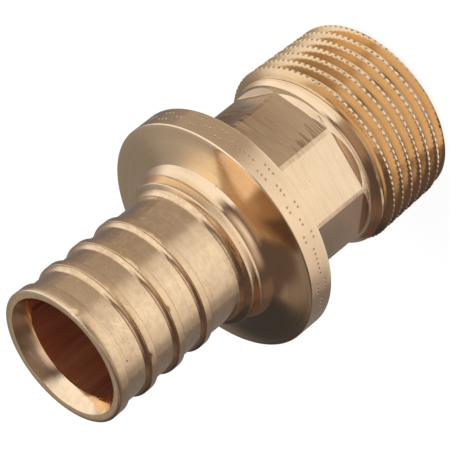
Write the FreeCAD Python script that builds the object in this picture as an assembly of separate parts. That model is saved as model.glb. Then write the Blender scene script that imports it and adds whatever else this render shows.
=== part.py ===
import FreeCAD, Part
import math
import os

# Male adapter that joins an expanded plastic water pipe to a taper thread,
# turned and milled from one brass bar. Millimetres. The origin is the centre
# of the thread's end face and +Z runs along the axis to the spigot's mouth.

# Taper pipe thread, 3/4 inch size
pitch = 1.814
gauge_dia = 26.441
gauge_from_end = 9.5
thread_taper = 1.0 / 16.0
flank_angle = 55.0
thread_depth = 1.162
groove_height_at_x = 0.208
end_chamfer = 0.79
shoulder_foot_z = 13.95

# Wrench section: a turned bar with milled flats that start past a short land
across_flats = 21.7
flat_count = 8
corner_cut = 0.124
wrench_land = 0.65
wrench_length = 12.62
cutter_lean = 19.0

# Stop flange with its dished front face
flange_dia = 33.0
flange_thickness = 3.8
dish_rise = 1.23

# Collar in front of the flange, with the sweep that leads up to it
collar_dia = 21.0
sweep_width = 0.85
sweep_rise = 2.0
collar_length = 1.2
neck_relief = 0.8

# Ribbed spigot, ribs counted from the neck to the mouth
neck_dia = 18.5
neck_length = 5.97
valley_dia = 18.34
rib_height = 0.55
rib_count = 3
rib_pitch = 4.87
rib_rise_run = 0.2
rib_land = 1.02
rib_face_run = 0.22
nose_gap = 3.5
nose_rise_run = 0.15
nose_height = 0.48
nose_length = 1.75

# Through bore with its mouth cone
bore_dia = 14.7
mouth_widening = 1.15
mouth_depth = 2.24

# Room beyond the metal that every cutting shape takes
cut_room = 2.0

# Heights and radii that follow from the sizes above
taper_slope = thread_taper / 2.0
flats_z = shoulder_foot_z + wrench_land
flange_rear_z = flats_z + wrench_length
flange_front_z = flange_rear_z + flange_thickness
dish_top_z = flange_front_z + dish_rise
collar_foot_z = dish_top_z + sweep_rise
collar_end_z = collar_foot_z + collar_length
first_rib_z = collar_end_z + neck_length
nose_foot_z = first_rib_z + rib_rise_run + rib_land + rib_face_run + (rib_count - 1) * rib_pitch + nose_gap
mouth_z = nose_foot_z + nose_rise_run + nose_length

apothem = across_flats / 2.0
wrench_r = apothem / math.cos(math.pi / flat_count) - corner_cut
flange_r = flange_dia / 2.0
collar_r = collar_dia / 2.0
neck_r = neck_dia / 2.0
valley_r = valley_dia / 2.0
rib_r = valley_r + rib_height
nose_r = valley_r + nose_height
bore_r = bore_dia / 2.0


def crest_r(z):
    """Radius over the thread crests at height z."""
    return gauge_dia / 2.0 + (z - gauge_from_end) * taper_slope


def point(r, z):
    """Point of the section, in the XZ plane."""
    return FreeCAD.Vector(r, 0.0, z)


def about_axis(shape, degrees):
    """Copy of a shape turned about the part's axis."""
    turned = shape.copy()
    turned.rotate(FreeCAD.Vector(0, 0, 0), FreeCAD.Vector(0, 0, 1), degrees)
    return turned


def thread_blank():
    """End chamfer, taper over the crests and the 45 degree shoulder, from the end face up."""
    chamfer_top_z = end_chamfer / (1.0 - taper_slope)
    full_drop = crest_r(shoulder_foot_z) - wrench_r
    shoulder_top_z = shoulder_foot_z - full_drop / (1.0 + taper_slope)
    return [
        point(crest_r(0.0) - end_chamfer, 0.0),
        point(crest_r(chamfer_top_z), chamfer_top_z),
        point(crest_r(shoulder_top_z), shoulder_top_z),
        point(wrench_r, shoulder_foot_z),
    ]


def flange_and_collar():
    """Wrench bar's end, flange rim, dished face, sweep, collar and the neck relief."""
    return [
        point(wrench_r, flange_rear_z),
        point(flange_r, flange_rear_z),
        point(flange_r, flange_front_z),
        point(collar_r + sweep_width, dish_top_z),
        point(collar_r, collar_foot_z),
        point(collar_r, collar_end_z),
        point(neck_r + neck_relief, collar_end_z),
        point(neck_r, collar_end_z + neck_relief),
    ]


def rib(index):
    """One rib: short rise on the flange side, flat land, steep face on the mouth side."""
    foot_z = first_rib_z + index * rib_pitch
    foot_r = neck_r if index == 0 else valley_r
    land_z = foot_z + rib_rise_run
    edge_z = land_z + rib_land
    return [
        point(foot_r, foot_z),
        point(rib_r, land_z),
        point(rib_r, edge_z),
        point(valley_r, edge_z + rib_face_run),
    ]


def nose():
    """Plain nose in front of the last rib."""
    return [
        point(valley_r, nose_foot_z),
        point(nose_r, nose_foot_z + nose_rise_run),
        point(nose_r, mouth_z),
    ]


def bore():
    """Mouth cone and the straight bore back to the thread's end face."""
    return [
        point(bore_r + mouth_widening, mouth_z),
        point(bore_r, mouth_z - mouth_depth),
        point(bore_r, 0.0),
    ]


def turned_body():
    """Everything the lathe makes apart from the thread groove."""
    section = thread_blank() + flange_and_collar()
    for index in range(rib_count):
        section += rib(index)
    section += nose() + bore()
    outline = Part.makePolygon(section + section[:1])
    axis_foot = FreeCAD.Vector(0, 0, 0)
    return Part.Face(outline).revolve(axis_foot, FreeCAD.Vector(0, 0, 1), 360)


def thread_groove():
    """V groove swept along a taper helix; it leaves the metal over the shoulder cone."""
    start_z = groove_height_at_x - 2.0 * pitch
    turns = math.ceil((shoulder_foot_z + pitch - start_z) / pitch)
    half_taper = math.degrees(math.atan(taper_slope))
    path = Part.makeLongHelix(pitch, turns * pitch, crest_r(start_z), half_taper)
    path.translate(FreeCAD.Vector(0, 0, start_z))

    overlap = 0.05 * pitch
    half_width = (thread_depth + overlap) * math.tan(math.radians(flank_angle / 2.0))
    corners = [
        point(crest_r(start_z) + overlap, start_z - half_width),
        point(crest_r(start_z) - thread_depth, start_z),
        point(crest_r(start_z) + overlap, start_z + half_width),
    ]
    profile = Part.makePolygon(corners + corners[:1])
    return Part.Wire(path.Edges).makePipeShell([profile], True, True)


def flat_cutter():
    """Side of a milling cutter's path: it cuts one flat and leaves a leaning wall at the land."""
    reach = wrench_r + cut_room
    lean = (reach - apothem) * math.tan(math.radians(cutter_lean))
    corners = [
        point(apothem, flats_z),
        point(apothem, flange_rear_z),
        point(reach, flange_rear_z),
        point(reach, flats_z - lean),
    ]
    side = Part.Face(Part.makePolygon(corners + corners[:1]))
    side.translate(FreeCAD.Vector(0, -apothem, 0))
    return side.extrude(FreeCAD.Vector(0, across_flats, 0))


def milled(body):
    """Body with its ring of flats."""
    cutter = flat_cutter()
    step = 360.0 / flat_count
    cutters = [about_axis(cutter, index * step) for index in range(flat_count)]
    return body.cut(cutters).removeSplitter()


def adapter():
    """The finished adapter, one solid."""
    return milled(turned_body()).cut(thread_groove()).Solids[0]


if __name__ == "__main__":
    os.makedirs("parts", exist_ok=True)
    adapter().exportStep("parts/adapter_body.step")
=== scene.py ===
"""Brass male adapter: ribbed spigot, stop flange, wrench section and taper thread.

Sizes of the part are in millimetres. Blender objects are in metres, in the part's own frame.
"""
import logging
import math
from dataclasses import dataclass, field
from enum import Enum, IntEnum
from typing import Sequence

import bpy
import numpy as np
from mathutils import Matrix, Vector


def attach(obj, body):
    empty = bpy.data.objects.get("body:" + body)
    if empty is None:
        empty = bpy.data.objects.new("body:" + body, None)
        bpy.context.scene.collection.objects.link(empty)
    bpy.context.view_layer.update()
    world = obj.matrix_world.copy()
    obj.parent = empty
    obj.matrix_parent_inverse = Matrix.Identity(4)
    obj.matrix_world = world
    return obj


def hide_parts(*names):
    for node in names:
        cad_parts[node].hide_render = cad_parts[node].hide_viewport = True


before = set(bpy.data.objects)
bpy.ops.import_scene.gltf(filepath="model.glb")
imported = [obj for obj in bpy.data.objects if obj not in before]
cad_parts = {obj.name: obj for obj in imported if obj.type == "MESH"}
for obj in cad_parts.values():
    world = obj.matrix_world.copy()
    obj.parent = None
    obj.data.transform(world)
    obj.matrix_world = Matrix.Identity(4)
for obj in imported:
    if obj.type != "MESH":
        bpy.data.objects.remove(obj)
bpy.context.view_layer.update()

LOG = logging.getLogger("adapter")
MM = 0.001
FULL_TURN = 2.0 * math.pi
SQRT_HALF = math.sqrt(0.5)
WHITE = (1.0, 1.0, 1.0, 1.0)

Pair = tuple[float, float]
Triple = tuple[float, float, float]
Colour = Triple
Floats = float | np.ndarray


class Zone(IntEnum):
    """Surface of the part that has a finish of its own; the value is its material index."""

    THREAD = 0
    TURNED = 1
    RIM = 2
    MILLED = 3
    SPIGOT = 4
    BORE = 5
    LAND = 6


class Lay(Enum):
    """Direction of the tool marks on a surface."""

    AROUND = "around"
    ACROSS = "across"
    ALONG = "along"


@dataclass(frozen=True)
class Stop:
    """One point of a turned section.

    Args:
        r: radius, in mm.
        z: height, in mm.
        rub: how much handling has rubbed it bright, 0 to 1.
        soil_and_shade: how much it is darkened, 0 to 1, by dirt and by painted shade.
    """

    r: float
    z: float
    rub: float = 0.0
    soil_and_shade: float = 0.0


@dataclass(frozen=True)
class Spot:
    """Small place on the outside of the part that is dented, stained or darkened with painted
    shade.

    Args:
        angle: of its middle, in degrees.
        z: of its middle, in mm.
        across: half size round the part, in mm.
        along: half size along the axis, in mm.
        amount: depth of a dent in mm, or how much a stain or painted shade darkens it.
    """

    angle: float
    z: float
    across: float
    along: float
    amount: float

    def share(self, angles: np.ndarray, radii: np.ndarray, heights: np.ndarray) -> np.ndarray:
        """How much each point gets.

        Args:
            angles: in radians.
            radii: in mm.
            heights: in mm.

        Returns:
            The amount at each point.
        """
        turn = (angles - math.radians(self.angle) + math.pi) % FULL_TURN - math.pi
        far = (turn * radii / self.across) ** 2 + ((heights - self.z) / self.along) ** 2
        return self.amount * np.exp(-far)


def around(count: int) -> np.ndarray:
    """Evenly spaced angles of a ring, in radians."""
    return np.arange(count) * (FULL_TURN / count)


def eased(share: np.ndarray) -> np.ndarray:
    """Ramp from 0 to 1, held beyond both ends and rounded into them."""
    held = np.clip(share, 0.0, 1.0)
    return held * held * (3.0 - 2.0 * held)


def on_lathe(angles: Floats, radii: Floats, heights: Floats) -> np.ndarray:
    """Points at angles round the axis, with their three coordinates last."""
    parts = np.broadcast_arrays(radii * np.cos(angles), radii * np.sin(angles), heights)
    return np.stack(parts, -1)


def beside(r: float, z: float, *rows: Sequence[float]) -> list[Stop]:
    """Points close to one place of a section.

    Args:
        r: radius of the place, in mm.
        z: its height, in mm.
        rows: for each point how far out and up it lies, in mm, then its rub and its darkening by
            dirt and painted shade.

    Returns:
        The points.
    """
    return [Stop(r + out, z + up, *wear_and_shade) for out, up, *wear_and_shade in rows]


def lathe_arc(start: Pair, radius: float, slopes: Pair, steps: int) -> list[Stop]:
    """Hollow arc that runs inward and up.

    Args:
        start: radius and height of its first point, in mm.
        radius: of the arc, in mm.
        slopes: angle above the inward direction at its first and last point, in degrees.
        steps: number of spans.

    Returns:
        The points after the first.
    """
    first, last = (math.radians(slope) for slope in slopes)
    made = []
    for i in range(1, steps + 1):
        slope = first + (last - first) * i / steps
        inward = radius * (math.sin(slope) - math.sin(first))
        rise = radius * (math.cos(first) - math.cos(slope))
        made.append(Stop(start[0] - inward, start[1] + rise))
    return made


def round_edge(centre: Pair, radius: float, angles: Pair, steps: int,
               rub: float = 0.8) -> list[Stop]:
    """Rounded edge, as points on a circle.

    Args:
        centre: radius and height of the circle's centre, in mm.
        radius: of the edge, in mm.
        angles: from and to, in degrees from the outward direction towards the mouth.
        steps: number of spans.
        rub: brightening of its points.

    Returns:
        All its points.
    """
    made = []
    for i in range(steps + 1):
        a = math.radians(angles[0] + (angles[1] - angles[0]) * i / steps)
        made.append(Stop(centre[0] + radius * math.cos(a), centre[1] + radius * math.sin(a), rub))
    return made


@dataclass
class Skin:
    """The part's closed surface while it is put together from rings of points."""

    points: list[np.ndarray] = field(default_factory=list)
    rubs: list[np.ndarray] = field(default_factory=list)
    soils_and_shades: list[np.ndarray] = field(default_factory=list)
    faces: list[tuple[int, ...]] = field(default_factory=list)
    zones: list[int] = field(default_factory=list)
    angles: dict[int, np.ndarray] = field(default_factory=dict)
    count: int = 0

    def put(self, points: np.ndarray, rub: Floats = 0.0, soil_and_shade: Floats = 0.0) -> np.ndarray:
        """Adds points.

        Args:
            points: n by 3, in mm.
            rub: brightening, for all or for each.
            soil_and_shade: darkening by dirt and painted shade, for all or for each.

        Returns:
            The points' numbers.
        """
        size = len(points)
        self.points.append(points)
        for kept, value in ((self.rubs, rub), (self.soils_and_shades, soil_and_shade)):
            kept.append(np.broadcast_to(np.asarray(value, float), (size,)).copy())
        self.count += size
        return np.arange(self.count - size, self.count)

    def ring(self, angles: np.ndarray, radii: Floats, heights: Floats, rub: Floats = 0.0,
             soil_and_shade: Floats = 0.0) -> np.ndarray:
        """Adds a ring round the axis.

        Args:
            angles: in radians, rising.
            radii: in mm.
            heights: in mm.
            rub: brightening.
            soil_and_shade: darkening by dirt and painted shade.

        Returns:
            The points' numbers.
        """
        made = self.put(on_lathe(angles, radii, heights), rub, soil_and_shade)
        self.angles[int(made[0])] = angles
        return made

    def face(self, zone: Zone, *corners: int) -> None:
        """Adds a face, and leaves out corners that fall together.

        Args:
            zone: its finish.
            corners: its points' numbers, in order.
        """
        kept = [c for i, c in enumerate(corners) if c != corners[i - 1]]
        if len(set(kept)) == len(kept) and len(kept) > 2:
            self.faces.append(tuple(int(c) for c in kept))
            self.zones.append(int(zone))

    def join(self, low: np.ndarray, high: np.ndarray, zone: Zone) -> None:
        """Faces between two rings, also where one has more points.

        Args:
            low: the ring that comes first along the section.
            high: the next ring.
            zone: the finish between them.
        """
        if len(low) == len(high):
            for i in range(len(low)):
                j = (i + 1) % len(low)
                self.face(zone, low[i], low[j], high[j], high[i])
            return
        a, b = (np.append(self.angles[int(ring[0])], FULL_TURN) for ring in (low, high))
        i = j = 0
        while i < len(low) or j < len(high):
            p, q = low[i % len(low)], high[j % len(high)]
            if j == len(high) or (i < len(low) and a[i + 1] <= b[j + 1]):
                i += 1
                self.face(zone, p, low[i % len(low)], q)
            else:
                j += 1
                self.face(zone, p, high[j % len(high)], q)

    def add_ring(self, last: np.ndarray, zone: Zone, *row: Floats) -> np.ndarray:
        """Adds a ring and its faces to the ring before it.

        Args:
            last: the ring before it.
            zone: the finish between them.
            row: what a ring takes: angles, radii, heights, brightening, and darkening by dirt and
                painted shade.

        Returns:
            The new ring.
        """
        ring = self.ring(*row)
        self.join(last, ring, zone)
        return ring

    def turn(self, last: np.ndarray, stops: Sequence[Stop], angles: np.ndarray,
             zone: Zone) -> np.ndarray:
        """Turns a run of section points from a ring on.

        Args:
            last: the ring before the first point.
            stops: the section's points.
            angles: of the new rings, in radians.
            zone: the finish.

        Returns:
            The last ring.
        """
        for stop in stops:
            last = self.add_ring(last, zone, angles, stop.r, stop.z, stop.rub, stop.soil_and_shade)
        return last

    def wear_and_shade(self, dents: Sequence[Spot], stains_and_painted_shade: Sequence[Spot], inner_radius: float) -> None:
        """Dents the outside, and darkens it with stains and painted shade.

        Args:
            dents: all the knocks.
            stains_and_painted_shade: the dirty places and the patches of painted shade.
            inner_radius: points nearer to the axis stay as they are, in mm.
        """
        for block, soil_and_shade in zip(self.points, self.soils_and_shades):
            radii = np.hypot(block[:, 0], block[:, 1])
            place = np.arctan2(block[:, 1], block[:, 0]), radii, block[:, 2]
            outside = radii > inner_radius
            # darkening from stains and from painted shade
            soil_and_shade += sum(dark_spot.share(*place) for dark_spot in stains_and_painted_shade) * outside
            drop = sum(dent.share(*place) for dent in dents) * outside
            block[:, :2] *= (1.0 - drop / np.maximum(radii, 1e-6))[:, None]

    def mesh(self, name: str, sharp_degrees: float) -> bpy.types.Mesh:
        """Makes the Blender mesh.

        Args:
            name: of the mesh.
            sharp_degrees: edges that fold more stay crisp.

        Returns:
            The mesh, in metres, with its rub and soil_and_shade attributes.
        """
        mesh = bpy.data.meshes.new(name)
        mesh.from_pydata((np.concatenate(self.points) * MM).tolist(), [], self.faces)
        mesh.polygons.foreach_set("material_index", self.zones)
        mesh.polygons.foreach_set("use_smooth", [True] * len(mesh.polygons))
        for label, values in (("rub", self.rubs), ("soil_and_shade", self.soils_and_shades)):
            layer = mesh.attributes.new(label, "FLOAT", "POINT")
            layer.data.foreach_set("value", np.concatenate(values).astype(np.float32))
        mesh.set_sharp_from_angle(angle=math.radians(sharp_degrees))
        mesh.update()
        return mesh


@dataclass
class TaperThread:
    """External taper pipe thread with a notched crest, its end chamfer and its shoulder."""

    pitch: float = 1.814
    depth: float = 1.225
    root_radius: float = 0.249
    crest_flat: float = 0.118
    half_angle: float = math.radians(27.5)
    gauge_radius: float = 13.2205
    gauge_height: float = 9.5
    slope: float = 1.0 / 32.0
    groove_height: float = 0.208
    end_chamfer: float = 0.79
    shoulder_foot: float = 13.95
    shoulder_radius: float = 11.62
    top: float = 13.45
    notches: int = 86
    notch_columns: int = 8
    notch_depth: float = 0.135
    notch_share: float = 0.34
    flank_row: float = 0.47
    blend: float = 0.025
    rub_from: float = 0.86
    rub_gain: float = 7.0
    # painted shade: the roots of the thread and the walls of the crest's notches are darkened as
    # shade
    root_shade: float = 0.35
    root_shade_gain: float = 0.9
    notch_shade: float = 1.2
    notch_shade_from: float = 0.93
    edge_room: float = 1e-6

    def crest(self, heights: Floats) -> Floats:
        """Radius over the crests."""
        return self.gauge_radius + (heights - self.gauge_height) * self.slope

    def rows(self) -> np.ndarray:
        """Finds where one pitch has its rows.

        Returns:
            Their distances from the groove's centre, in mm.
        """
        half = self.pitch / 2.0
        edge = half - self.crest_flat
        fall = self.notch_depth * math.tan(self.half_angle)
        arc = self.root_radius * math.cos(self.half_angle)
        side = [arc, half * self.flank_row, edge - fall, edge - fall * 0.5, edge]
        return np.array([0.0] + side + [self.pitch - s for s in reversed(side)])

    def lift(self, offset: np.ndarray) -> np.ndarray:
        """Height of the thread's section over its root.

        Args:
            offset: distance from the nearest groove centre, in mm.

        Returns:
            The height, in mm.
        """
        radius, near = self.root_radius, np.abs(offset)
        arc = radius * math.cos(self.half_angle)
        root = radius - np.sqrt(np.clip(radius ** 2 - near ** 2, 0.0, None))
        flank = (near - arc) / math.tan(self.half_angle)
        flank += radius * (1.0 - math.sin(self.half_angle))
        return np.where(near < arc, root, np.minimum(flank, self.depth))

    def surface(self, angles: np.ndarray,
                heights: np.ndarray) -> tuple[np.ndarray, np.ndarray, np.ndarray]:
        """Radius of the thread's surface, with how bright it is and how much painted shade darkens
        its roots and notches.

        Args:
            angles: in radians.
            heights: in mm.

        Returns:
            Radius in mm, brightening, and darkening by painted shade.
        """
        turns = angles / FULL_TURN
        groove = self.groove_height + self.pitch * turns
        lift = self.lift((heights - groove + self.pitch / 2.0) % self.pitch - self.pitch / 2.0)
        crest = self.crest(heights)
        notch = eased(1.0 - np.abs((turns * self.notches) % 1.0 - 0.5) / self.notch_share)
        thread = np.minimum(crest - self.depth + lift, crest - self.notch_depth * notch)
        chamfer = self.crest(0.0) - self.end_chamfer + heights
        shoulder = self.shoulder_radius + self.shoulder_foot - heights
        cone = np.minimum(chamfer, shoulder)
        radii = -self.blend * np.logaddexp(-thread / self.blend, -cone / self.blend)
        share, cut = np.clip(lift / self.depth, 0.0, 1.0), thread < cone
        rub = np.clip((share - self.rub_from) * self.rub_gain, 0.0, 1.0) * (1.0 - notch)
        # painted shade in the thread's roots and on the notch walls
        soil_and_shade = np.clip(self.root_shade - share, 0.0, 1.0) * self.root_shade_gain
        soil_and_shade += self.notch_shade * notch * (share > self.notch_shade_from)
        return radii, rub * cut, np.clip(soil_and_shade, 0.0, 1.0) * cut

    def build(self, skin: Skin) -> tuple[np.ndarray, np.ndarray]:
        """Adds the thread's surface.

        Args:
            skin: the part's surface.

        Returns:
            The rings at the end face and at the shoulder.
        """
        columns = self.notches * self.notch_columns
        angles, offsets = around(columns), self.rows()
        per_turn = len(offsets)
        rows = np.arange((math.ceil(self.top / self.pitch) + 3) * per_turn)
        base = self.groove_height + self.pitch * (rows // per_turn - 2) + offsets[rows % per_turn]
        heights = base[:, None] + self.pitch * angles[None, :] / FULL_TURN
        held = np.clip(heights, 0.0, self.top)
        ground, roof = (self.ring_at(skin, angles, height) for height in (0.0, self.top))
        free = (heights > self.edge_room) & (heights < self.top - self.edge_room)
        grid = np.broadcast_to(angles[None, :], held.shape)
        radii, rub, soil_and_shade = self.surface(grid, held)
        number = np.where(heights <= self.edge_room, ground[None, :], roof[None, :])
        number[free] = skin.put(on_lathe(grid, radii, held)[free], rub[free], soil_and_shade[free])
        wrapped = np.concatenate([number, np.roll(number[:, :1], -per_turn, axis=0)], 1)
        for low, high in zip(wrapped[:-per_turn - 1], wrapped[1:]):
            for col in range(columns):
                if low[col] != high[col] or low[col + 1] != high[col + 1]:
                    skin.face(Zone.THREAD, low[col], low[col + 1], high[col + 1], high[col])
        return ground, roof

    def ring_at(self, skin: Skin, angles: np.ndarray, height: float) -> np.ndarray:
        """Adds the ring of the thread's surface at one height."""
        radii, rub, soil_and_shade = self.surface(angles, np.full_like(angles, height))
        return skin.ring(angles, radii, height, rub, soil_and_shade)


@dataclass
class WrenchSection:
    """Turned bar with eight milled flats, from the thread's shoulder to the flange."""

    foot: float = 13.95
    flats_start: float = 15.0
    end: float = 27.22
    turned_radius: float = 11.62
    apothem: float = 10.85
    flats: int = 8
    columns_a_flat: int = 20
    columns_a_corner: int = 4
    strip_edge: float = math.radians(0.3)
    strip_soil: float = 0.3
    strip_lead: Pair = (-0.06, 0.02)
    wall_lean: float = math.radians(39.0)
    wall_steps: tuple[float, ...] = (1.0, 0.9, 0.75, 0.55, 0.35, 0.2, 0.12, 0.07, 0.03, 0.0)
    wall_rub: float = 0.35
    cutter_corner: float = 0.22
    foot_fillet: float = 1.0
    first_row: float = 0.9
    rows: int = 9

    def angles(self) -> np.ndarray:
        """Spaces the columns.

        Returns:
            Their angles in radians, with one on every edge of every flat.
        """
        half = math.acos(self.apothem / self.turned_radius)
        step = FULL_TURN / self.flats
        inner = half - self.strip_edge
        one = np.concatenate([
            [-half], np.linspace(-inner, inner, self.columns_a_flat - 1), [half],
            np.linspace(half, step - half, self.columns_a_corner + 1)[1:-1],
        ])
        every = np.concatenate([one + step * k for k in range(self.flats)])
        return np.sort(every % FULL_TURN)

    def wall_height(self, out: np.ndarray) -> np.ndarray:
        """Height of the cutter's wall.

        Args:
            out: distance from the flat, in mm.

        Returns:
            The height at each distance, in mm.
        """
        lean, corner = self.wall_lean, self.cutter_corner
        reach = corner * math.tan((math.pi / 2 - lean) / 2)
        near = np.clip(corner - out, 0.0, corner)
        curve = self.flats_start + reach - np.sqrt(corner ** 2 - near ** 2)
        return np.where(out < reach * math.cos(lean), curve,
                        self.flats_start - out * math.tan(lean))

    def build(self, skin: Skin, start: np.ndarray) -> np.ndarray:
        """Adds the wrench section.

        Args:
            skin: the part's surface.
            start: the ring at the shoulder.

        Returns:
            The ring at the flange.
        """
        angles = self.angles()
        step = FULL_TURN / self.flats
        off = (angles + step / 2.0) % step - step / 2.0
        room = np.clip(self.turned_radius * np.cos(off) - self.apothem, 0.0, None)
        flat = room > 1e-6
        reach = self.foot_fillet * math.tan(math.pi / 8.0) * SQRT_HALF
        begin = (self.turned_radius + reach, self.foot - reach)
        fillet = lathe_arc(begin, self.foot_fillet, (45.0, 90.0), 5)
        last = skin.turn(start, [Stop(*begin)] + fillet, angles, Zone.TURNED)
        for index, share in enumerate(self.wall_steps):
            out = room * share
            radii = np.where(flat, (self.apothem + out) / np.cos(off), self.turned_radius)
            strip = self.flats_start + self.strip_lead[0] + self.strip_lead[1] * index
            heights = np.where(flat, self.wall_height(out), strip)
            zone, rub = (Zone.MILLED, 0.0) if index else (Zone.TURNED, self.wall_rub)
            last = skin.add_ring(last, zone, angles, radii, heights, rub)
        soil_and_shade = np.where(flat, 0.0, self.strip_soil)
        for height in np.linspace(self.flats_start + self.first_row, self.end, self.rows):
            last = skin.add_ring(last, Zone.MILLED, angles, radii, height, 0.0, soil_and_shade)
        return last


@dataclass
class StopFlange:
    """Round flange with a dished front face and a ring of plain punched dots on its rim."""

    rear: float = 27.22
    front: float = 31.02
    radius: float = 16.5
    edge: float = 0.2
    columns: int = 192
    rear_face: tuple[Stop, ...] = (Stop(12.4, 27.22, 0.0, 0.5), Stop(14.4, 27.22))
    rim_columns: int = 144
    rim_rows: int = 5
    rim_rub: float = 0.25
    dot_sides: int = 8
    dot_radius: float = 0.17
    dot_depth: float = 0.08
    dot_loops: tuple[Triple, ...] = ((1.0, 0.0, 0.1), (0.62, 0.75, 0.8))
    dot_cycle: int = 24
    single_dots: tuple[int, ...] = (0, 1, 2, 3, 4, 5, 10, 11, 16, 17, 18)
    double_dots: tuple[int, ...] = (7, 8, 13, 14, 20, 21, 22)
    dish_radius: float = 14.69
    dish_slopes: Pair = (4.0, 24.0)
    sweep_radius: float = 2.78
    sweep_slopes: Pair = (44.0, 90.0)
    sweep_foot: Pair = (11.35, 32.25)
    collar_radius: float = 10.5
    collar_foot: float = 34.8
    collar_top: float = 35.32
    collar_edge: float = 0.12

    def dotted(self, column: int, row: int) -> bool:
        """Whether a cell of the rim holds a dot: runs of single dots and small blocks."""
        place, off = column % self.dot_cycle, abs(row - self.rim_rows // 2)
        return (place in self.single_dots and off == 0) or (place in self.double_dots and off == 1)

    def rim(self, skin: Skin, start: np.ndarray) -> np.ndarray:
        """Adds the cylindrical rim with its dots.

        Args:
            skin: the part's surface.
            start: the ring at the rim's rear edge.

        Returns:
            The ring at its front edge.
        """
        angles = around(self.rim_columns)
        bottom, top = self.rear + self.edge, self.front - self.edge
        low = skin.add_ring(start, Zone.RIM, angles, self.radius, bottom, self.rim_rub)
        tall = (top - bottom) / self.rim_rows
        for row in range(self.rim_rows):
            rub = self.rim_rub if row == self.rim_rows - 1 else 0.0
            high = skin.ring(angles, self.radius, bottom + tall * (row + 1), rub)
            for col in range(self.rim_columns):
                nxt = (col + 1) % self.rim_columns
                if self.dotted(col, row):
                    angle = (col + 0.5) * FULL_TURN / self.rim_columns
                    corners = (high[nxt], high[col], low[col], low[nxt])
                    self.dot(skin, corners, angle, bottom + tall * (row + 0.5))
                else:
                    skin.face(Zone.RIM, low[col], low[nxt], high[nxt], high[col])
            low = high
        return low

    def dot(self, skin: Skin, corners: tuple[int, ...], angle: float, height: float) -> None:
        """Adds one punched dot inside a cell.

        Args:
            skin: the part's surface.
            corners: of the cell, from the upper right round to the lower right.
            angle: of its centre, in radians.
            height: of its centre, in mm.
        """
        turn, loops = around(self.dot_sides), []
        for reach, depth, soil_and_shade in self.dot_loops:
            wide = self.dot_radius * reach
            spots = on_lathe(angle + wide * np.cos(turn) / self.radius,
                             self.radius - self.dot_depth * depth, height + wide * np.sin(turn))
            loops.append(skin.put(spots, 0.0, soil_and_shade))
        outer, inner = loops
        middle = on_lathe(np.array([angle]), self.radius - self.dot_depth, height)
        centre = skin.put(middle, 0.0, 1.0)[0]
        for k in range(self.dot_sides):
            nxt = (k + 1) % self.dot_sides
            skin.face(Zone.RIM, outer[k], outer[nxt], inner[nxt], inner[k])
            skin.face(Zone.RIM, inner[k], inner[nxt], centre)
        for k, corner in enumerate(corners):
            before, here, after = (outer[(2 * k + step) % self.dot_sides] for step in range(3))
            skin.face(Zone.RIM, corner, here, before)
            skin.face(Zone.RIM, corner, after, here)
            skin.face(Zone.RIM, corner, corners[(k + 1) % 4], after)

    def build(self, skin: Skin, start: np.ndarray) -> np.ndarray:
        """Adds the flange, its dish, the sweep and the collar.

        Args:
            skin: the part's surface.
            start: the ring at the end of the flats.

        Returns:
            The ring at the collar's inner edge.
        """
        angles = around(self.columns)
        inner = self.radius - self.edge
        last = skin.turn(start, self.rear_face, angles, Zone.TURNED)
        rear = round_edge((inner, self.rear + self.edge), self.edge, (-90, -15), 5)
        last = self.rim(skin, skin.turn(last, rear, angles, Zone.RIM))
        front = round_edge((inner, self.front - self.edge), self.edge, (12, 88), 5, 1.0)
        last = skin.turn(last, front, angles, Zone.RIM)
        dish = lathe_arc((inner, self.front), self.dish_radius, self.dish_slopes, 10)
        sweep = lathe_arc(self.sweep_foot, self.sweep_radius, self.sweep_slopes, 9)
        centre = (self.collar_radius - self.collar_edge, self.collar_top - self.collar_edge)
        collar = [Stop(self.collar_radius, self.collar_foot)]
        collar += round_edge(centre, self.collar_edge, (0, 70), 4, 0.7)
        return skin.turn(last, dish + sweep + collar, angles, Zone.TURNED)


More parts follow.
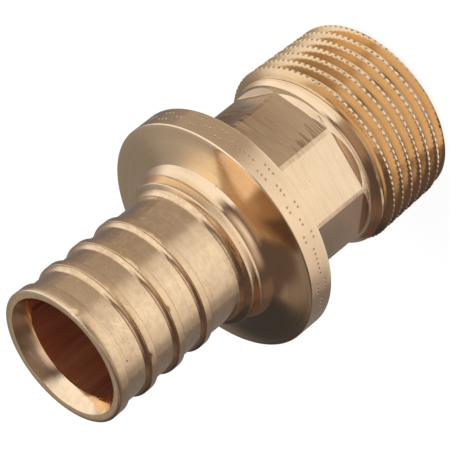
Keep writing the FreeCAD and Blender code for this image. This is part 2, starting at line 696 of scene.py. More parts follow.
@dataclass
class Spigot:
    """Neck, three ribs and a plain nose."""

    relief_start: Pair = (9.875, 35.507)
    relief_arc: float = 0.95
    relief_slope: float = 20.0
    neck_radius: float = 9.25
    neck_rows: tuple[float, ...] = (36.45, 37.2, 38.3, 39.6)
    valley_radius: float = 9.17
    valley_steps: tuple[float, ...] = (0.05, 0.4, 1.2)
    rib_radius: float = 9.72
    rib_feet: tuple[float, ...] = (41.42, 46.29, 51.16)
    rise_run: float = 0.2
    land: float = 1.02
    face_start: Pair = (-0.03, -0.01)
    face_arc: float = 0.7
    nose_foot: float = 56.1
    nose_rise: float = 0.15
    nose_radius: float = 9.62
    mouth: float = 58.0
    lip_edge: float = 0.13
    lip_crown: float = 0.03
    lip_flare: float = 0.03
    lip_rows: tuple[tuple[float, ...], ...] = ((9.2, 0.2), (9.0, 0.0), (8.8, 0.3), (8.56, 1.3, 0.5))
    columns: int = 216

    @staticmethod
    def foot(radius: float, height: float) -> list[Stop]:
        """Corner where a rise starts, darkened in the crease."""
        return beside(radius, height, (0.0, -0.5), (0.0, -0.05, 0.0, 0.1), (0.02, 0.01, 0.0, 0.6))

    def rib(self, height: float, base: float) -> tuple[list[Stop], list[Stop], list[Stop]]:
        """Section of one rib.

        Args:
            height: of its foot, in mm.
            base: radius before it, in mm.

        Returns:
            The foot of its rise, its land, and its hollow face with the valley after it.
        """
        top = height + self.rise_run
        edge = top + self.land
        land = beside(self.rib_radius, top, (-0.06, -0.03, 0.1, 0.3), (-0.02, 0.01, 0.4),
                      (0.0, 0.05, 0.3), (0.0, 0.14))
        land += beside(self.rib_radius, edge, (0.0, -0.5), (0.0, -0.13, 0.1),
                       (-0.005, -0.05, 0.6), (*self.face_start, 0.9))
        begin = (self.rib_radius + self.face_start[0], edge + self.face_start[1])
        slope = math.degrees(math.asin(1.0 - (begin[0] - self.valley_radius) / self.face_arc))
        face = lathe_arc(begin, self.face_arc, (slope, 90.0), 7)
        valley = [Stop(self.valley_radius, face[-1].z + step) for step in self.valley_steps]
        return self.foot(base, height), land, face + valley

    def build(self, skin: Skin, start: np.ndarray) -> np.ndarray:
        """Adds the spigot.

        Args:
            skin: the part's surface.
            start: the ring at the collar.

        Returns:
            The ring at the lip's inner edge.
        """
        angles = around(self.columns)
        relief = lathe_arc(self.relief_start, self.relief_arc, (self.relief_slope, 90.0), 8)
        neck = [Stop(self.neck_radius, z) for z in self.neck_rows]
        last = skin.turn(start, [Stop(*self.relief_start)] + relief + neck, angles, Zone.SPIGOT)
        base = self.neck_radius
        for height in self.rib_feet:
            for stops, zone in zip(self.rib(height, base), (Zone.SPIGOT, Zone.LAND, Zone.SPIGOT)):
                last = skin.turn(last, stops, angles, zone)
            base = self.valley_radius
        last = skin.turn(last, self.foot(base, self.nose_foot), angles, Zone.SPIGOT)
        nose = beside(self.nose_radius, self.nose_foot + self.nose_rise, (-0.05, -0.03, 0.1, 0.3),
                      (-0.01, 0.02, 0.4), (0.0, 0.08, 0.2))
        nose += beside(self.nose_radius, self.mouth, (0.01, -0.9))
        centre = (self.nose_radius + self.lip_flare - self.lip_edge,
                  self.mouth - self.lip_crown - self.lip_edge)
        nose += round_edge(centre, self.lip_edge, (0, 84), 6, 1.0)
        last = skin.turn(last, nose, angles, Zone.LAND)
        lip = [Stop(r, self.mouth - self.lip_crown * drop, *rub) for r, drop, *rub in self.lip_rows]
        return skin.turn(last, lip, angles, Zone.SPIGOT)


@dataclass
class ThroughBore:
    """Straight bore with a mouth cone and a small chamfer at the thread's end face; painted shade
    darkens its wall away from its lit side.
    """

    radius: float = 7.35
    mouth: float = 58.0
    cone_radius: float = 8.5
    cone_depth: float = 2.24
    cone_waist: float = 7.8
    cone_end: Pair = (0.01, -0.08)
    straight_start: float = 0.3
    straight_rows: tuple[float, ...] = (52.0, 45.75, 39.5, 33.25, 27.0, 20.75, 14.5, 8.25, 2.0)
    tail_chamfer: float = 0.3
    face_rows: Pair = (9.0, 11.0)
    bright_side: float = 108.0
    bright_half: float = 26.0
    shade_width: float = 38.0
    most_shade: float = 0.92
    columns: int = 160

    def build(self, skin: Skin, start: np.ndarray, end_ring: np.ndarray) -> None:
        """Adds the bore and the end face, which close the surface.

        Args:
            skin: the part's surface.
            start: the ring at the lip's inner edge.
            end_ring: the thread's ring at the end face.
        """
        angles = around(self.columns)
        foot = self.mouth - self.cone_depth
        cone = beside(self.cone_radius, self.mouth, (0.0, -0.08, 0.7), (-0.25, -0.5, 0.5))
        cone.append(Stop(self.cone_waist, self.mouth - self.cone_depth * 0.6, 0.5))
        cone += beside(self.radius, foot, (0.05, 0.1, 0.4))
        last = skin.turn(start, cone, angles, Zone.SPIGOT)
        # painted shade: the wall darkens with its angle from the bore's lit side, carried as
        # darkening from the mouth cone's last ring to the end
        turn = np.abs(np.degrees(angles) - self.bright_side)
        away = np.minimum(turn, 360.0 - turn) - self.bright_half
        shade = np.clip(away / self.shade_width, 0.0, self.most_shade)
        out, up = self.cone_end
        last = skin.add_ring(last, Zone.SPIGOT, angles, self.radius + out, foot + up, 0.0, shade)
        for depth in (foot - self.straight_start, *self.straight_rows, self.tail_chamfer):
            last = skin.add_ring(last, Zone.BORE, angles, self.radius, depth, 0.0, shade)
        face = [Stop(self.radius + self.tail_chamfer, 0.0, 0.5)]
        face += [Stop(r, 0.0) for r in self.face_rows]
        last = skin.turn(last, face, angles, Zone.TURNED)
        skin.join(last, end_ring, Zone.TURNED)


class Wire:
    """Output of a node, which is added, subtracted and multiplied like a number."""

    def __init__(self, sheet: "NodeSheet", socket: bpy.types.NodeSocket) -> None:
        """Keeps the socket and the sheet that it is on."""
        self.sheet, self.socket = sheet, socket

    def __add__(self, other: "Wire | float") -> "Wire":
        """Sum of both, by a Math node."""
        return self.sheet.maths("ADD", self, other)

    def __sub__(self, other: "Wire | float") -> "Wire":
        """Difference of both, by a Math node."""
        return self.sheet.maths("SUBTRACT", self, other)

    def __mul__(self, other: "Wire | float") -> "Wire":
        """Product of both, by a Math node."""
        return self.sheet.maths("MULTIPLY", self, other)


class NodeSheet:
    """Adds nodes to one node tree and links them."""

    def __init__(self, tree: bpy.types.NodeTree) -> None:
        """Keeps the tree, with nothing in it."""
        tree.nodes.clear()
        self.tree = tree

    def feed(self, socket: bpy.types.NodeSocket, value: object) -> None:
        """Links a socket or sets its value.

        Args:
            socket: input of a node.
            value: wire, number, colour or vector.
        """
        if isinstance(value, Wire):
            self.tree.links.new(value.socket, socket)
        else:
            socket.default_value = value

    def node(self, kind: str, inputs: dict | None = None, **settings: object) -> bpy.types.Node:
        """Adds a node.

        Args:
            kind: its Blender type.
            inputs: what its sockets get, by name or number.
            settings: its properties.

        Returns:
            The node.
        """
        made = self.tree.nodes.new(kind)
        for name, value in settings.items():
            setattr(made, name, value)
        for key, value in (inputs or {}).items():
            self.feed(made.inputs[key], value)
        return made

    def wire(self, kind: str, output: int | str = 0, inputs: dict | None = None,
             **settings: object) -> Wire:
        """Adds a node and returns one of its outputs."""
        return Wire(self, self.node(kind, inputs, **settings).outputs[output])

    def maths(self, operation: str, *values: Wire | float, clamp: bool = False) -> Wire:
        """Adds a Math node and returns its result."""
        return self.wire("ShaderNodeMath", 0, dict(enumerate(values)), operation=operation,
                         use_clamp=clamp)

    def combine(self, x: Wire | float, y: Wire | float, z: Wire | float) -> Wire:
        """Makes a vector of three values."""
        return self.wire("ShaderNodeCombineXYZ", 0, {0: x, 1: y, 2: z})

    def noise(self, vector: Wire, scale: Wire | float, detail: float, roughness: float) -> Wire:
        """Adds a Noise texture and returns its value."""
        return self.wire("ShaderNodeTexNoise", "Fac", {
            "Vector": vector, "Scale": scale, "Detail": detail, "Roughness": roughness})

    def span(self, value: Wire, low: Wire | float, high: Wire | float,
             out_low: Wire | float = 0.0, out_high: Wire | float = 1.0) -> Wire:
        """Maps one range to another, held at both ends."""
        return self.wire("ShaderNodeMapRange", "Result", {
            "Value": value, "From Min": low, "From Max": high, "To Min": out_low,
            "To Max": out_high}, clamp=True)

    def mix(self, factor: Wire, first: Wire | Colour, second: Wire | Colour) -> Wire:
        """Mixes two colours.

        Args:
            factor: share of the second.
            first: colour or wire.
            second: colour or wire.

        Returns:
            The mixed colour.
        """
        one, two = ((*c, 1.0) if isinstance(c, tuple) else c for c in (first, second))
        return self.wire("ShaderNodeMix", 2, {0: factor, 6: one, 7: two}, data_type="RGBA",
                         blend_type="MIX")

    def attribute(self, name: str, output: str) -> Wire:
        """Reads what the mesh carries under a name."""
        return self.wire("ShaderNodeAttribute", output, attribute_type="GEOMETRY",
                         attribute_name=name)

    def place(self) -> tuple[Wire, ...]:
        """Reads the place on the part.

        Returns:
            The position in mm, its x, y and z, and its distance from the axis.
        """
        spot = self.wire("ShaderNodeTexCoord", "Object")
        spot = self.wire("ShaderNodeVectorMath", 0, {0: spot, "Scale": 1.0 / MM}, operation="SCALE")
        parts = self.node("ShaderNodeSeparateXYZ", {0: spot})
        x, y, z = (Wire(self, socket) for socket in parts.outputs)
        return spot, x, y, z, self.maths("SQRT", x * x + y * y)

    def group(self, shared: bpy.types.NodeTree, **values: float) -> dict[str, Wire]:
        """Places a shared group.

        Args:
            shared: the group.
            values: of its inputs; an underscore stands for a space.

        Returns:
            Its outputs by name.
        """
        inputs = {name.replace("_", " "): value for name, value in values.items()}
        made = self.node("ShaderNodeGroup", node_tree=shared)
        for name, value in inputs.items():
            self.feed(made.inputs[name], value)
        return {socket.name: Wire(self, socket) for socket in made.outputs}


class SharedEffects:
    """The shader groups that every brass finish uses, each built once."""

    wide_marks = 0.25
    wide_bands = 0.16
    line_span = (0.42, 0.66)
    flat_reach = (10.6, 10.8)
    smear_end = 21.0

    def __init__(self) -> None:
        """Builds all the groups."""
        self.lines = {lay: self.tool_marks(lay) for lay in Lay}
        self.mottling = self.make_mottling()
        self.scratches = self.make_scratches()
        self.handling_and_shade = self.make_handling_and_shade()
        self.smears = self.make_smears()

    @staticmethod
    def start(name: str, **inputs: float) -> tuple[NodeSheet, list[Wire]]:
        """Makes an empty group.

        Args:
            name: of the group.
            inputs: their first values; an underscore stands for a space.

        Returns:
            Its sheet and its inputs.
        """
        tree = bpy.data.node_groups.new(name, "ShaderNodeTree")
        for label, value in inputs.items():
            socket = tree.interface.new_socket(
                name=label.replace("_", " "), in_out="INPUT", socket_type="NodeSocketFloat")
            socket.default_value = value
        sheet = NodeSheet(tree)
        given = sheet.node("NodeGroupInput")
        return sheet, [Wire(sheet, given.outputs[k]) for k in range(len(inputs))]

    @staticmethod
    def close(sheet: NodeSheet, **outputs: Wire) -> bpy.types.NodeTree:
        """Gives a group its outputs.

        Args:
            sheet: of the group.
            outputs: what they carry, by name.

        Returns:
            The group.
        """
        for label in outputs:
            sheet.tree.interface.new_socket(name=label, in_out="OUTPUT",
                                            socket_type="NodeSocketFloat")
        sheet.node("NodeGroupOutput", outputs)
        return sheet.tree

    def tool_marks(self, lay: Lay) -> bpy.types.NodeTree:
        """Fine lines that a tool leaves, and broad bands of lighter and darker metal.

        Args:
            lay: their direction.

        Returns:
            The group.
        """
        sheet, (dense, drift) = self.start("tool marks " + lay.value, Lines_a_mm=5.0, Drift=0.12)
        _, x, y, z, radius = sheet.place()
        if lay is Lay.ALONG:
            turn_x, turn_y, rise = x * dense, y * dense, z * drift
            spot = sheet.combine(turn_x, turn_y, rise)
            wide = sheet.combine(turn_x * self.wide_marks, turn_y * self.wide_marks, rise)
        else:
            side_x, side_y, rise = x * drift, y * drift, z * dense
            reach = radius * dense if lay is Lay.AROUND else 0.0
            spot = sheet.combine(side_x + reach, side_y, rise)
            wide = sheet.combine(side_x + reach * self.wide_bands, side_y, rise * self.wide_bands)
        return self.close(
            sheet, Height=sheet.noise(spot, 1.0, 3.0, 0.6), Bands=sheet.noise(wide, 1.0, 2.0, 0.5),
            Lines=sheet.span(sheet.noise(spot, 0.8, 1.0, 0.5), *self.line_span))

    def make_mottling(self) -> bpy.types.NodeTree:
        """Cloudy patches of a tumbled surface, with a fine grain.

        Returns:
            The group.
        """
        sheet, (size, crispness) = self.start("mottling", Size_mm=1.5, Crispness=3.0)
        spot = sheet.place()[0]
        scale = sheet.maths("DIVIDE", 1.0, size)
        firm = (sheet.noise(spot, scale, 6.0, 0.7) - 0.5) * crispness
        return self.close(
            sheet, Clouds=sheet.maths("ADD", firm, 0.5, clamp=True),
            Waviness=sheet.noise(spot, scale * 0.8, 2.0, 0.45),
            Grain=sheet.noise(spot, scale * 9.0, 3.0, 0.6))

    def make_scratches(self) -> bpy.types.NodeTree:
        """Sparse hairline scratches and small pits.

        Returns:
            The group.
        """
        sheet, (amount,) = self.start("scratches", Amount=0.5)
        spot, x, y, z, _ = sheet.place()
        first = sheet.combine((x + z) * 0.35, (y + z) * 7.0, z * 0.5)
        second = sheet.combine((x - z) * 6.0, (y - x) * 0.4, z * 0.6)
        one = sheet.span(sheet.noise(first, 1.0, 1.0, 0.4), 0.70, 0.76)
        two = sheet.span(sheet.noise(second, 1.0, 1.0, 0.4), 0.71, 0.77)
        cells = sheet.wire("ShaderNodeTexVoronoi", "Distance", {"Vector": spot, "Scale": 0.42})
        return self.close(sheet, Hairlines=sheet.maths("MAXIMUM", one, two) * amount,
                          Pits=sheet.span(cells, 0.03, 0.075, 1.0, 0.0) * amount)

    def make_handling_and_shade(self) -> bpy.types.NodeTree:
        """Edges rubbed bright, and the darkening that the mesh carries: dirt, and painted shade in
        the thread's roots and notches, on the rib faces and in the bore.

        Returns:
            The group.
        """
        sheet, (patchiness,) = self.start("handling_and_shade", Patchiness=0.5)
        broken = sheet.span(sheet.noise(sheet.place()[0], 1.6, 3.0, 0.6), 0.35, 0.65)
        keep = sheet.maths("SUBTRACT", 1.0, patchiness * broken)
        return self.close(sheet, Rub=sheet.attribute("rub", "Fac") * keep,
                          Soil=sheet.attribute("soil_and_shade", "Fac") * keep)

    def make_smears(self) -> bpy.types.NodeTree:
        """Comb of dark smears that run in from one edge of one flat, as the cutter left them.

        Returns:
            The group.
        """
        sheet, (edge, foot, top, most) = self.start(
            "cutter smears", Edge_mm=4.16, Foot_mm=15.0, Top_mm=22.5, Reach_mm=3.4)
        _, x, y, z, _ = sheet.place()
        depth = edge - (x + y) * -SQRT_HALF
        outward = (x - y) * SQRT_HALF
        row = sheet.combine(0.37, 0.61, (z + depth * 0.12) * 3.0)
        length = sheet.span(sheet.noise(row, 1.0, 2.0, 0.6), 0.38, 0.62, 0.15, most)
        reach = length * sheet.span(z, foot, top, 1.0, 0.25)
        tooth = sheet.span(sheet.noise(row, 2.1, 1.0, 0.5), 0.40, 0.56)
        on_flat = sheet.span(depth, -0.05, 0.1) * sheet.span(outward, *self.flat_reach)
        tips = sheet.span(reach - depth, 0.0, 0.5) * tooth
        return self.close(sheet, Smears=tips * (on_flat * sheet.span(z, top, self.smear_end)))


def blank_material(name: str) -> tuple[bpy.types.Material, NodeSheet]:
    """Makes a material.

    Args:
        name: of the material.

    Returns:
        The material and the sheet of its empty tree.
    """
    material = bpy.data.materials.new(name)
    material.use_nodes = True
    return material, NodeSheet(material.node_tree)


def put_in_scene(name: str, data: bpy.types.ID) -> bpy.types.Object:
    """Makes an object and links it to the scene.

    Args:
        name: of the object.
        data: its mesh, camera or lamp.

    Returns:
        The object.
    """
    made = bpy.data.objects.new(name, data)
    bpy.context.scene.collection.objects.link(made)
    return made


@dataclass(frozen=True)
class BrassFinish:
    """One finish of the brass, in the terms of the shop that made it."""

    name: str
    lay: Lay = Lay.AROUND
    colour: Colour = (0.94, 0.70, 0.465)
    deep: Colour = (0.83, 0.62, 0.415)
    dirt_and_shade: Colour = (0.30, 0.16, 0.08)
    rubbed: Colour = (0.97, 0.80, 0.60)
    rub_share: float = 0.6
    roughness: float = 0.2
    roughness_swing: float = 0.1
    dirt_and_shade_roughness: float = 0.25
    lines_a_mm: float = 5.0
    line_drift: float = 0.12
    line_height: float = 1.0
    cloud_size: float = 1.5
    cloud_crispness: float = 3.0
    cloud_share: float = 0.5
    wave_height: float = 6.0
    grain_height: float = 0.6
    band_share: float = 0.3
    scratch_amount: float = 0.5
    scratch_depth: float = 3.0
    pit_depth: float = 12.0
    pit_dirt: float = 0.7
    dirt_and_shade_share: float = 0.8
    line_share: float = 0.15
    line_grip: float = 0.3
    smear_share: float = 0.0
    patchiness: float = 0.5
    metallic: float = 1.0

    def material(self, effects: SharedEffects) -> bpy.types.Material:
        """Makes the material.

        Args:
            effects: the shared groups.

        Returns:
            The material.
        """
        made, sheet = blank_material(self.name)
        marks = sheet.group(effects.lines[self.lay], Lines_a_mm=self.lines_a_mm,
                            Drift=self.line_drift)
        mottling = sheet.group(effects.mottling, Size_mm=self.cloud_size,
                               Crispness=self.cloud_crispness)
        scratches = sheet.group(effects.scratches, Amount=self.scratch_amount)
        handling_and_shade = sheet.group(effects.handling_and_shade, Patchiness=self.patchiness)

        bands = sheet.span(marks["Bands"], 0.35, 0.65) * self.band_share
        shade = sheet.maths("ADD", mottling["Clouds"] * self.cloud_share, bands, clamp=True)
        shade = sheet.maths("ADD", shade, marks["Lines"] * self.line_share, clamp=True)
        colour = sheet.mix(shade, self.colour, self.deep)
        colour = sheet.mix(handling_and_shade["Rub"] * self.rub_share, colour, self.rubbed)
        grip = sheet.span(marks["Height"], 0.35, 0.6, 1.0 - self.line_grip, 1.0)
        dark = sheet.maths("MAXIMUM", handling_and_shade["Soil"] * grip, scratches["Pits"] * self.pit_dirt)
        if self.smear_share > 0.0:
            smears = sheet.group(effects.smears)["Smears"] * self.smear_share
            dark = sheet.maths("MAXIMUM", dark, smears)
        # darkens towards the dirt_and_shade colour: real dirt, pits and smears, and the painted
        # shade that the mesh carries
        colour = sheet.mix(dark * self.dirt_and_shade_share, colour, self.dirt_and_shade)
        rough = (shade - 0.5) * self.roughness_swing + self.roughness
        rough = sheet.maths("ADD", rough, dark * self.dirt_and_shade_roughness, clamp=True)

        height = marks["Height"] * self.line_height + mottling["Waviness"] * self.wave_height
        height = height + mottling["Grain"] * self.grain_height
        height = height + scratches["Hairlines"] * -self.scratch_depth
        height = height + scratches["Pits"] * -self.pit_depth
        normal = sheet.wire("ShaderNodeBump", "Normal",
                            {"Strength": 1.0, "Distance": 1e-6, "Height": height})
        shader = sheet.wire("ShaderNodeBsdfPrincipled", "BSDF", {
            "Metallic": self.metallic, "Base Color": colour, "Roughness": rough, "Normal": normal})
        sheet.node("ShaderNodeOutputMaterial", {"Surface": shader})
        made.diffuse_color = (*self.colour, 1.0)
        return made


def brass_finishes() -> dict[Zone, BrassFinish]:
    """Lists the finishes.

    Returns:
        The finish of every zone.
    """
    return {
        Zone.THREAD: BrassFinish(
            "brass_thread", colour=(0.875, 0.645, 0.405), deep=(0.775, 0.535, 0.31),
            dirt_and_shade=(0.14, 0.08, 0.045), dirt_and_shade_share=1.0, roughness=0.17, lines_a_mm=9.0,
            line_height=0.8, cloud_size=2.5, wave_height=2.0, scratch_amount=0.2),
        Zone.TURNED: BrassFinish(
            "brass_turned", roughness=0.14, lines_a_mm=7.0, line_height=1.8, line_drift=0.06,
            line_share=0.35, band_share=0.4, cloud_size=3.0, cloud_share=0.25, wave_height=2.0),
        Zone.RIM: BrassFinish(
            "brass_rim", roughness=0.16, lines_a_mm=7.0, line_height=0.8, cloud_size=1.0,
            wave_height=3.5, grain_height=1.0),
        Zone.MILLED: BrassFinish(
            "brass_milled", Lay.ACROSS, colour=(0.96, 0.72, 0.48), deep=(0.81, 0.605, 0.40),
            lines_a_mm=6.0, line_height=3.0, line_drift=0.25, line_share=0.38, line_grip=0.8,
            cloud_size=2.0, cloud_share=0.3, wave_height=2.0, dirt_and_shade_share=1.0, smear_share=0.8,
            patchiness=0.1),
        Zone.SPIGOT: BrassFinish(
            "brass_spigot", colour=(0.965, 0.725, 0.484), deep=(0.73, 0.537, 0.352),
            roughness=0.13, line_height=0.6, cloud_size=1.1, cloud_crispness=4.0,
            cloud_share=0.55, wave_height=8.0, grain_height=1.5, scratch_amount=0.9,
            patchiness=0.8),
        # copper-red: partly the bore's oxide, partly painted reflection for the reddened light that
        # bounces inside it; its dark colour carries the bore's painted shade
        Zone.BORE: BrassFinish(
            "brass_bore", Lay.ALONG, colour=(0.97, 0.36, 0.17), deep=(0.56, 0.155, 0.075),
            dirt_and_shade=(0.10, 0.035, 0.03), dirt_and_shade_share=1.0, roughness=0.33, roughness_swing=0.2,
            lines_a_mm=1.4, line_drift=0.03, line_height=2.0, band_share=0.9, cloud_size=3.0,
            cloud_share=0.1, wave_height=2.0, metallic=0.77, patchiness=0.1),
        Zone.LAND: BrassFinish(
            "brass_land", colour=(0.925, 0.68, 0.433), deep=(0.75, 0.54, 0.338), roughness=0.15,
            line_height=0.6, cloud_size=0.8, cloud_share=0.6, wave_height=4.5, grain_height=0.9,
            scratch_amount=0.9),
    }


@dataclass
class Adapter:
    """The whole part, one closed surface."""

    thread: TaperThread = field(default_factory=TaperThread)
    wrench: WrenchSection = field(default_factory=WrenchSection)
    flange: StopFlange = field(default_factory=StopFlange)
    spigot: Spigot = field(default_factory=Spigot)
    bore: ThroughBore = field(default_factory=ThroughBore)
    sharp_degrees: float = 19.0
    worn_from: float = 8.6

    @staticmethod
    def dents() -> list[Spot]:
        """Lists the knocks that the part has picked up.

        Returns:
            The dents, and a raised burr where the depth is negative.
        """
        return [Spot(*row) for row in (
            (-36.0, 42.6, 0.5, 0.15, 0.05), (-43.5, 42.6, 0.45, 0.12, 0.06),
            (-51.0, 42.6, 0.5, 0.15, 0.05), (-49.0, 47.5, 0.4, 0.12, 0.06),
            (-54.5, 47.5, 0.4, 0.12, 0.05), (-94.0, 47.5, 0.2, 0.12, 0.06),
            (-115.0, 52.35, 0.2, 0.12, 0.06), (-54.0, 52.3, 0.25, 0.15, 0.05),
            (-53.5, 58.0, 0.35, 0.2, 0.17), (-57.5, 57.75, 0.3, 0.15, -0.03),
            (-44.2, 19.6, 0.3, 0.3, 0.1))]

    @staticmethod
    def stains_and_painted_shade() -> list[Spot]:
        """Lists the darkened places: dirt in the nicks and scratches, oxide patches on the spigot,
        darker patches on the flats and at the shoulder, and painted shade on the near side of the
        neck's relief and of each rib's hollow face.

        Returns:
            The stains and the patches of painted shade, large ones first.
        """
        return [Spot(*row) for row in (
            (0.0, 21.5, 5.0, 4.4, 1.5), (-45.0, 21.0, 4.2, 4.6, 0.42),
            (-26.0, 47.0, 4.0, 12.0, 0.55), (-135.0, 20.5, 3.5, 4.5, 0.35),
            (-57.0, 57.75, 0.45, 0.1, 0.8), (-44.2, 19.6, 0.35, 0.35, 0.9),
            (-112.0, 14.3, 8.0, 0.3, 0.8), (-122.0, 14.5, 2.2, 0.5, 0.7),
            # painted shade: the near side of the neck's relief, at -95 degrees, and of the three
            # rib faces, at -108 degrees
            (-95.0, 35.8, 9.0, 0.5, 0.8), (-108.0, 42.95, 6.0, 0.2, 0.6),
            (-108.0, 47.8, 6.0, 0.2, 0.6), (-108.0, 52.7, 6.0, 0.2, 0.6),
            (-36.0, 42.2, 0.7, 0.35, 0.7), (-43.0, 42.25, 0.6, 0.3, 0.6),
            (-50.0, 42.3, 0.5, 0.25, 0.5), (-49.0, 46.8, 0.4, 0.3, 0.5),
            (-55.0, 46.9, 0.3, 0.3, 0.5), (-28.0, 47.3, 0.3, 0.2, 0.6),
            (-38.0, 49.2, 0.4, 0.3, 0.35), (-54.0, 51.9, 0.4, 0.3, 0.5),
            (-36.0, 55.2, 1.0, 0.2, 0.4))]

    def mesh(self) -> bpy.types.Mesh:
        """Builds the surface from the thread's end face to the bore.

        Returns:
            The mesh.
        """
        skin = Skin()
        end_ring, last = self.thread.build(skin)
        for piece in (self.wrench, self.flange, self.spigot):
            last = piece.build(skin, last)
        self.bore.build(skin, last, end_ring)
        skin.wear_and_shade(self.dents(), self.stains_and_painted_shade(), self.worn_from)
        triangles = sum(len(face) - 2 for face in skin.faces)
        LOG.info("adapter: %d points, %d triangles", skin.count, triangles)
        return skin.mesh("adapter", self.sharp_degrees)

    def dress(self, materials: dict[Zone, bpy.types.Material]) -> bpy.types.Object:
        """Gives the surface its materials and hands it to the frame.

        Args:
            materials: one for each zone.

        Returns:
            The object.
        """
        mesh = self.mesh()
        for zone in Zone:
            mesh.materials.append(materials[zone])
        piece = put_in_scene("adapter", mesh)
        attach(piece, "root")
        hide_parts("adapter_body")
        return piece


@dataclass(frozen=True)
class PhotoCamera:
    """Camera at the photograph's viewing angle, in metres and degrees."""

    lens: float = 251.25912
    sensor: float = 36.0
    place: Triple = (0.0988299, -0.3253933, 0.2289061)
    turn: Triple = (-46.831991, 42.102102, -130.954452)
    clip: Pair = (0.02, 50.0)

    def build(self) -> bpy.types.Object:
        """Makes the camera and gives it to the scene.

        Returns:
            The camera.
        """
        data = bpy.data.cameras.new("photo_camera")
        data.lens, data.sensor_width = self.lens, self.sensor
        data.clip_start, data.clip_end = self.clip
        camera = put_in_scene("photo_camera", data)
        camera.location = self.place
        camera.rotation_euler = [math.radians(angle) for angle in self.turn]
        bpy.context.scene.camera = camera
        return camera


class Surface(Enum):
    """Part of the studio that carries a panel or card."""

    WALL = "wall"
    MAT = "mat"


@dataclass(frozen=True)
class SoftArea:
    """Soft-edged panel or card of the studio, as the part sees it.

    Args:
        name: what it is.
        surface: where it hangs or lies.
        bearing: azimuth of its middle, in degrees.
        height: elevation of its middle, in degrees.
        half_width: in degrees.
        half_height: in degrees.
        feather: width of its soft edge, in degrees.
        light: its red, green and blue.
    """

    name: str
    surface: Surface
    bearing: float
    height: float
    half_width: float
    half_height: float
    feather: float
    light: Colour

    def cover(self, bearings: np.ndarray, heights: np.ndarray) -> np.ndarray:
        """Finds how much of the panel shows.

        Args:
            bearings: azimuths, in degrees.
            heights: elevations, in degrees.

        Returns:
            The share in each direction, 0 to 1.
        """
        turn = np.abs((bearings - self.bearing + 180.0) % 360.0 - 180.0)
        rise = np.abs(heights - self.height)
        across, up = (eased((half + self.feather / 2 - far) / self.feather)
                      for far, half in ((turn, self.half_width), (rise, self.half_height)))
        return across * up


def soft_areas() -> list[SoftArea]:
    """Lists the panels and cards.

    Returns:
        The areas; each lies over those before it.
    """
    wall = (
        ("side haze", -75, 52, 48, 14, 17, (0.363, 0.265, 0.202)),
        ("overhead card", -62, 72, 42, 12, 24, (0.60, 0.54, 0.48)),
        ("back haze", 178, 8, 13, 19, 13, (0.18, 0.12, 0.10)),
        ("side skirt", -102, 4, 39, 15, 28, (0.52, 0.44, 0.38)),
        ("side card", -95, 15, 20, 9, 30, (1.03, 0.91, 0.88)),
        ("softbox skirt", 22, 6, 51, 41, 50, (0.56, 0.53, 0.52)),
        ("left softbox", 3, 20, 50, 40, 24, (1.10, 1.11, 1.12)),
        ("softbox foot", -20, -6, 36, 6, 8, (1.02, 0.93, 0.78)),
        ("left softbox corner", 40, 42, 25, 17, 12, (0.95, 0.95, 0.97)),
        ("left softbox top", -1, 56, 57, 20, 12, (1.10, 1.11, 1.12)),
        ("dark flag", 124, 19, 20, 15, 4, (0.045, 0.046, 0.05)),
        ("stand glow", 127, 40, 13, 4, 2.5, (0.25, 0.205, 0.175)),
        ("right haze", 96, 18, 18, 36, 10, (0.257, 0.246, 0.232)),
        ("mouth card", 108, 31, 5, 6, 6, (0.37, 0.325, 0.285)),
        ("right haze top", 86, 45, 20, 13, 14, (0.41, 0.39, 0.375)),
        ("top softbox", 76, 64, 39, 14, 20, (1.02, 0.88, 0.68)),
    )
    mat = (
        ("mat shoulder", 34, -60, 13, 80, 24, (0.325, 0.283, 0.261)),
        ("grey mat", -11.5, -60, 39.5, 80, 5, (0.445, 0.397, 0.355)),
        ("mat foot", 12, -64, 45, 13, 10, (0.95, 0.88, 0.78)),
        ("bounce card end", -160, -60, 12, 80, 9, (0.36, 0.33, 0.32)),
        ("bounce card", -98, -60, 55, 80, 22, (0.76, 0.72, 0.68)),
        ("bounce card middle", -95, -60, 29, 80, 52, (1.0, 0.985, 0.95)),
        ("near card", -104, -63, 65, 25, 19, (0.99, 1.0, 1.0)),
        # painted shadow: this dark end of the near card stands for the thread's shadow on it
        ("near card thread shadow", -165, -62, 26, 18, 6, (0.26, 0.22, 0.22)),
    )
    return [SoftArea(name, surface, *row)
            for surface, rows in ((Surface.WALL, wall), (Surface.MAT, mat))
            for name, *row in rows]


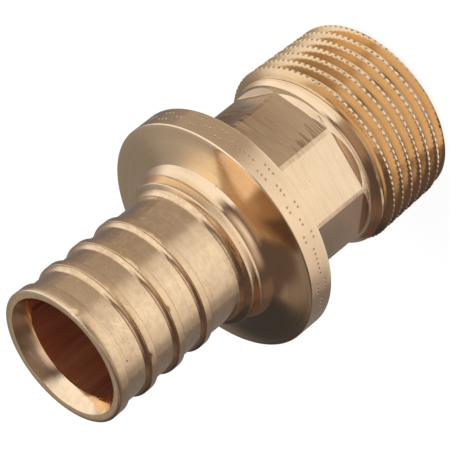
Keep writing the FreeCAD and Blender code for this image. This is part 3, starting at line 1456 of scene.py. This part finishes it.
@dataclass
class Studio:
    """Pale floor, soft lamps, white background and the tent of panels that the metal mirrors."""

    reach: float = 0.4
    eye_height: float = 0.035
    mat_reach: float = 0.127
    mat_height: float = 0.0004
    mat_start: float = 0.003
    seam: float = 0.001
    columns: int = 240
    mat_rings: int = 40
    skirt_rings: int = 14
    dome_rings: int = 60
    dome_top: float = 88.0
    backdrop: Colour = (0.11, 0.08, 0.07)
    mat_colour: Colour = (0.21, 0.196, 0.20)
    floor_half: float = 3.0
    floor_height: float = -0.00005
    floor_colour: Colour = (0.93, 0.93, 0.93)
    floor_grain: float = 0.985
    floor_grain_scale: float = 900.0
    floor_glow: float = 1.04
    floor_glow_share: float = 0.84
    world_light: float = 0.55
    lamp_distance: float = 0.7
    lamp_aim: Triple = (0.0, 0.0, 0.03)
    lamps: tuple[tuple[str, float, float, float, float], ...] = (
        ("key_lamp", 10.0, 55.0, 0.5, 2.6), ("fill_lamp", -110.0, 60.0, 0.6, 2.2))

    def light_from(self, points: np.ndarray) -> np.ndarray:
        """Paints the tent.

        Args:
            points: of the tent, in metres.

        Returns:
            The light's colour at each point.
        """
        x, y, z = points.T
        bearings = np.degrees(np.arctan2(y, x))
        heights = np.degrees(np.arctan2(z - self.eye_height, np.hypot(x, y)))
        on_mat = (np.hypot(x, y) < self.mat_reach) & (z < self.seam)
        light = np.where(on_mat[:, None], np.array(self.mat_colour), np.array(self.backdrop))
        for area in soft_areas():
            there = on_mat if area.surface is Surface.MAT else ~on_mat
            share = (area.cover(bearings, heights) * there)[:, None]
            light = light * (1.0 - share) + np.array(area.light) * share
        return light

    def tent(self) -> bpy.types.Object:
        """Makes the dome and mat that only mirrored rays see.

        Returns:
            The tent.
        """
        count, edge = self.columns, self.mat_reach
        rings = [(reach, self.mat_height) for reach in (
            *np.geomspace(self.mat_start, edge - self.seam, self.mat_rings),
            *np.geomspace(edge + self.seam, self.reach, self.skirt_rings))]
        rings += [(self.reach * math.cos(a), self.reach * math.sin(a) + self.mat_height)
                  for a in np.radians(np.linspace(0, self.dome_top, self.dome_rings))[1:]]
        points = np.concatenate([on_lathe(around(count), r, z) for r, z in rings])
        faces = [(low + i, low + (i + 1) % count, low + count + (i + 1) % count, low + count + i)
                 for low in range(0, len(points) - count, count) for i in range(count)]
        faces += [tuple(range(count)), tuple(range(len(points) - count, len(points)))]
        mesh = bpy.data.meshes.new("studio_tent")
        mesh.from_pydata(points.tolist(), [], faces)
        layer = mesh.color_attributes.new("light", "FLOAT_COLOR", "POINT")
        colours = np.concatenate([self.light_from(points), np.ones((len(points), 1))], 1)
        layer.data.foreach_set("color", colours.astype(np.float32).ravel())
        tent = put_in_scene("studio_tent", mesh)
        tent.visible_camera = tent.visible_diffuse = tent.visible_shadow = False
        tent.visible_transmission = tent.visible_volume_scatter = False
        material, sheet = blank_material("studio_tent")
        material.cycles.emission_sampling = "NONE"
        glow = sheet.wire("ShaderNodeEmission", 0, {"Color": sheet.attribute("light", "Color")})
        sheet.node("ShaderNodeOutputMaterial", {"Surface": glow})
        mesh.materials.append(material)
        return tent

    @staticmethod
    def background_rays(sheet: NodeSheet) -> Wire:
        """Tells rays apart.

        Args:
            sheet: of the material or world.

        Returns:
            One for camera, glossy and transmission rays, nought for the rest.
        """
        path = sheet.node("ShaderNodeLightPath")
        camera, glossy, through = (Wire(sheet, path.outputs[name]) for name in (
            "Is Camera Ray", "Is Glossy Ray", "Is Transmission Ray"))
        return sheet.maths("ADD", camera + glossy, through, clamp=True)

    def floor(self) -> bpy.types.Object:
        """Makes the pale floor that keeps the part's shadow.

        Returns:
            The floor.
        """
        half = self.floor_half
        corners = ((-half, -half), (half, -half), (half, half), (-half, half))
        mesh = bpy.data.meshes.new("floor")
        mesh.from_pydata([(*corner, self.floor_height) for corner in corners], [], [(0, 1, 2, 3)])
        floor = put_in_scene("floor", mesh)
        material, sheet = blank_material("floor")
        material.cycles.emission_sampling = "NONE"
        place = sheet.wire("ShaderNodeTexCoord", "Object")
        grain = sheet.noise(place, self.floor_grain_scale, 2.0, 0.5)
        pale = tuple(c * self.floor_grain for c in self.floor_colour)
        matt = sheet.wire("ShaderNodeBsdfDiffuse", 0,
                          {"Color": sheet.mix(grain, self.floor_colour, pale)})
        glow = sheet.wire("ShaderNodeEmission", 0, {"Color": WHITE, "Strength": self.floor_glow})
        share = self.background_rays(sheet) * self.floor_glow_share
        blend = sheet.wire("ShaderNodeMixShader", 0, {0: share, 1: matt, 2: glow})
        sheet.node("ShaderNodeOutputMaterial", {"Surface": blend})
        mesh.materials.append(material)
        return floor

    def world(self) -> None:
        """White to the camera and to mirrored rays, soft grey light otherwise."""
        world = bpy.data.worlds.new("studio")
        world.use_nodes = True
        sheet = NodeSheet(world.node_tree)
        strength = sheet.span(self.background_rays(sheet), 0.0, 1.0, self.world_light, 1.0)
        light = sheet.wire("ShaderNodeBackground", 0, {"Color": WHITE, "Strength": strength})
        sheet.node("ShaderNodeOutputWorld", {"Surface": light})
        bpy.context.scene.world = world

    def lamp(self, name: str, bearing: float, height: float, size: float, power: float) -> None:
        """Adds a broad lamp that looks at the part and isn't mirrored by it.

        Args:
            name: of the lamp.
            bearing: its azimuth, in degrees.
            height: its elevation, in degrees.
            size: its side, in metres.
            power: in watts.
        """
        data = bpy.data.lights.new(name, "AREA")
        data.shape, data.size, data.energy = "SQUARE", size, power
        lamp = put_in_scene(name, data)
        a, e = math.radians(bearing), math.radians(height)
        away = Vector((math.cos(a) * math.cos(e), math.sin(a) * math.cos(e), math.sin(e)))
        lamp.location = Vector(self.lamp_aim) + away * self.lamp_distance
        lamp.rotation_mode = "QUATERNION"
        lamp.rotation_quaternion = (-away).to_track_quat("-Z", "Y")
        lamp.visible_glossy = False

    def build(self) -> None:
        """Sets up the studio."""
        self.world()
        self.floor()
        self.tent()
        for row in self.lamps:
            self.lamp(*row)
        bpy.context.scene.view_settings.view_transform = "Standard"
        LOG.info("studio: %d soft areas", len(soft_areas()))


def main() -> None:
    """Builds the camera, the studio and the part."""
    logging.basicConfig(level=logging.INFO, format="%(name)s %(message)s")
    PhotoCamera().build()
    Studio().build()
    effects = SharedEffects()
    materials = {zone: finish.material(effects) for zone, finish in brass_finishes().items()}
    Adapter().dress(materials)
    bpy.context.view_layer.update()


if __name__ == "__main__":
    main()
